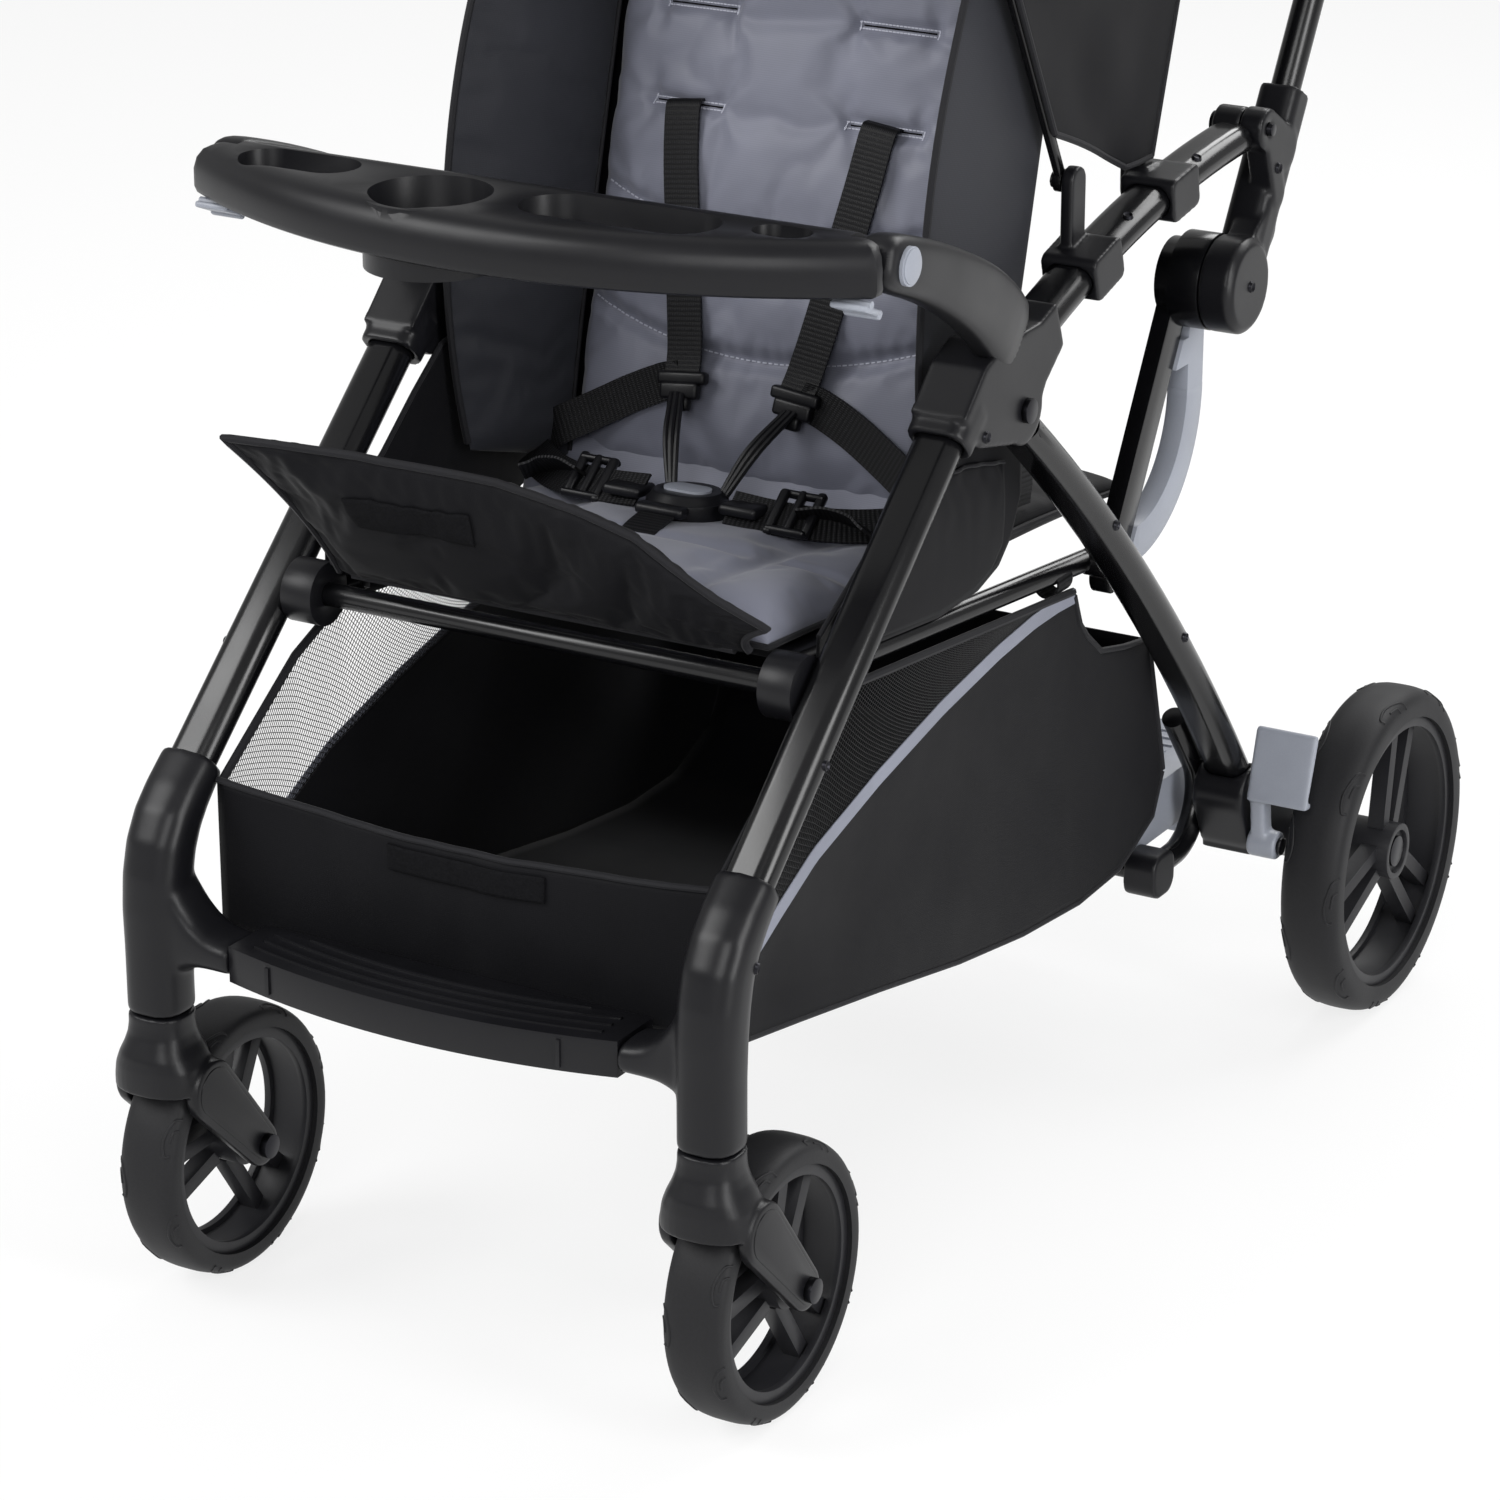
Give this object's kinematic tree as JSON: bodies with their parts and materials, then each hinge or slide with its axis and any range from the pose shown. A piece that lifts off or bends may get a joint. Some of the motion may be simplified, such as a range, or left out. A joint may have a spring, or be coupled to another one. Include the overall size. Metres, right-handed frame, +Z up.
{
  "type": "tandem stroller",
  "caption": "Sit-and-stand tandem stroller with reclining front seat, child tray, canopy, storage basket, rear bench and standing platform on a folding tube frame.",
  "frame": {"origin": "on the floor, middle of the bounding box seen from above", "axes": "+Z up, -Y the way the stroller faces, +X the child's left"},
  "size_m": [0.622, 1.0312, 1.0285],
  "materials": {
    "tyre_foam": "matte foam rubber",
    "rim_plastic": "moulded, satin",
    "black_plastic": "moulded, fine grain",
    "grey_plastic": "moulded, satin",
    "tube_black": "satin gloss powder coat",
    "steel": "plain",
    "foam_grip": "matte foam",
    "seat_cloth": "satin polyester, quilted",
    "black_cloth": "woven",
    "webbing": "ribbed webbing"
  },
  "bodies": {
    "frame": {"leg_castings": "black_plastic", "footrest": "black_plastic", "front_legs": "tube_black", "hubs": "black_plastic", "upper_tubes": "tube_black", "tube_end_blocks": "black_plastic", "tray_arms": "black_plastic", "pivot_pins": "steel", "seat_bar": "tube_black", "seat_bar_knobs": "black_plastic", "seat_rails": "tube_black", "seat_board": "black_plastic", "seat_pad": "seat_cloth", "back_hinge_rod": "steel", "lap_harness": "webbing", "harness_buckle": "black_plastic", "rear_bench": "black_cloth", "canopy_clips": "black_plastic", "canopy_rear_bow": "tube_black", "canopy_cloth": "black_cloth", "basket": "black_cloth"},
    "rear_frame": {"rear_legs": "tube_black", "rear_leg_caps": "black_plastic", "axle_brackets": "black_plastic", "rear_axle_bar": "steel", "standing_platform": "grey_plastic", "platform_tube": "tube_black", "platform_clamps": "black_plastic"},
    "handle": {"handle_arms": "black_plastic", "handle_tube": "tube_black", "handle_grip": "foam_grip", "drum_pins": "steel"},
    "fold_link": {"fold_links": "tube_black", "grab_bars": "grey_plastic"},
    "backrest": {"back_board": "black_plastic", "back_pad": "seat_cloth", "shoulder_straps": "webbing"},
    "canopy_bow": {"canopy_front_bow": "tube_black"},
    "tray": {"child_tray": "black_plastic"},
    "leg_flap_body": {"leg_flap": "seat_cloth"},
    "buckle_button_body": {"buckle_button": "black_plastic"},
    "tray_button_left_body": {"tray_button_left": "grey_plastic"},
    "tray_lever_left_body": {"tray_lever_left": "grey_plastic"},
    "caster_left": {"caster_fork_left": "black_plastic", "caster_pins_left": "steel"},
    "front_wheel_left": {"front_tyre_left": "tyre_foam", "front_rim_left": "rim_plastic"},
    "rear_wheel_left": {"rear_tyre_left": "tyre_foam", "rear_rim_left": "rim_plastic"},
    "brake_left": {"brake_pedal_left": "grey_plastic"},
    "tray_button_right_body": {"tray_button_right": "grey_plastic"},
    "tray_lever_right_body": {"tray_lever_right": "grey_plastic"},
    "caster_right": {"caster_fork_right": "black_plastic", "caster_pins_right": "steel"},
    "front_wheel_right": {"front_tyre_right": "tyre_foam", "front_rim_right": "rim_plastic"},
    "rear_wheel_right": {"rear_tyre_right": "tyre_foam", "rear_rim_right": "rim_plastic"},
    "brake_right": {"brake_pedal_right": "grey_plastic"}
  },
  "joints": [
    {"name": "fold", "type": "hinge", "parent": "frame", "child": "rear_frame", "pos_m": [0, -0.11023, 0.60096], "axis": [1, 0, 0], "range_deg": [0, 22]},
    {"name": "handle_fold", "type": "hinge", "parent": "frame", "child": "handle", "pos_m": [0, 0.25877, 0.71196], "axis": [1, 0, 0], "range_deg": [0, 68.2]},
    {"name": "link_fold", "type": "hinge", "parent": "handle", "child": "fold_link", "pos_m": [0, 0.22877, 0.60396], "axis": [1, 0, 0], "range_deg": [-92.4, 0]},
    {"name": "recline", "type": "hinge", "parent": "frame", "child": "backrest", "pos_m": [0, -0.05414, 0.46231], "axis": [1, 0, 0], "range_deg": [-28, 0]},
    {"name": "canopy_fold", "type": "hinge", "parent": "frame", "child": "canopy_bow", "pos_m": [0, 0.00977, 0.72496], "axis": [1, 0, 0], "range_deg": [-58, 0], "deforming": ["canopy_cloth"]},
    {"name": "tray_tilt", "type": "hinge", "parent": "frame", "child": "tray", "pos_m": [0, -0.31823, 0.7515], "axis": [1, 0, 0], "range_deg": [-70, 0]},
    {"name": "leg_flap_hinge", "type": "hinge", "parent": "frame", "child": "leg_flap_body", "pos_m": [0, -0.34146, 0.49048], "axis": [1, 0, 0], "range_deg": [0, 92]},
    {"name": "buckle_press", "type": "slide", "parent": "frame", "child": "buckle_button_body", "axis": [0, -0.0976, -0.9952], "range_m": [0, 0.002], "stiffness_N_per_m": 800},
    {"name": "tray_button_left", "type": "slide", "parent": "frame", "child": "tray_button_left_body", "axis": [1, 0, 0], "range_m": [0, 0.003], "stiffness_N_per_m": 800},
    {"name": "tray_lever_left", "type": "hinge", "parent": "tray", "child": "tray_lever_left_body", "pos_m": [0, -0.35423, 0.7345], "axis": [1, 0, 0], "range_deg": [0, 14], "stiffness_Nm_per_rad": 0.4},
    {"name": "caster_swivel_left", "type": "hinge", "parent": "frame", "child": "caster_left", "pos_m": [-0.2135, -0.48438, 0.215], "axis": [0, 0, 1], "continuous": true},
    {"name": "front_wheel_spin_left", "type": "hinge", "parent": "caster_left", "child": "front_wheel_left", "pos_m": [-0.2135, -0.42037, 0.09525], "axis": [1, 0, 0], "continuous": true},
    {"name": "rear_wheel_spin_left", "type": "hinge", "parent": "rear_frame", "child": "rear_wheel_left", "pos_m": [-0.2875, 0.38862, 0.127], "axis": [1, 0, 0], "continuous": true},
    {"name": "brake_left", "type": "hinge", "parent": "rear_frame", "child": "brake_left", "pos_m": [-0.245, 0.27813, 0.16], "axis": [1, 0, 0], "range_deg": [-13.5, 0]},
    {"name": "tray_button_right", "type": "slide", "parent": "frame", "child": "tray_button_right_body", "axis": [-1, 0, 0], "range_m": [0, 0.003], "stiffness_N_per_m": 800},
    {"name": "tray_lever_right", "type": "hinge", "parent": "tray", "child": "tray_lever_right_body", "pos_m": [0, -0.35423, 0.7345], "axis": [1, 0, 0], "range_deg": [0, 14], "stiffness_Nm_per_rad": 0.4},
    {"name": "caster_swivel_right", "type": "hinge", "parent": "frame", "child": "caster_right", "pos_m": [0.2135, -0.48438, 0.215], "axis": [0, 0, 1], "continuous": true},
    {"name": "front_wheel_spin_right", "type": "hinge", "parent": "caster_right", "child": "front_wheel_right", "pos_m": [0.2135, -0.42037, 0.09525], "axis": [1, 0, 0], "continuous": true},
    {"name": "rear_wheel_spin_right", "type": "hinge", "parent": "rear_frame", "child": "rear_wheel_right", "pos_m": [0.2875, 0.38862, 0.127], "axis": [1, 0, 0], "continuous": true},
    {"name": "brake_right", "type": "hinge", "parent": "rear_frame", "child": "brake_right", "pos_m": [0.245, 0.27813, 0.16], "axis": [1, 0, 0], "range_deg": [-13.5, 0]}
  ],
  "couplings": [
    {"joint": "handle_fold", "follows": "fold", "ratio": 3.1},
    {"joint": "link_fold", "follows": "fold", "ratio": -4.2}
  ]
}
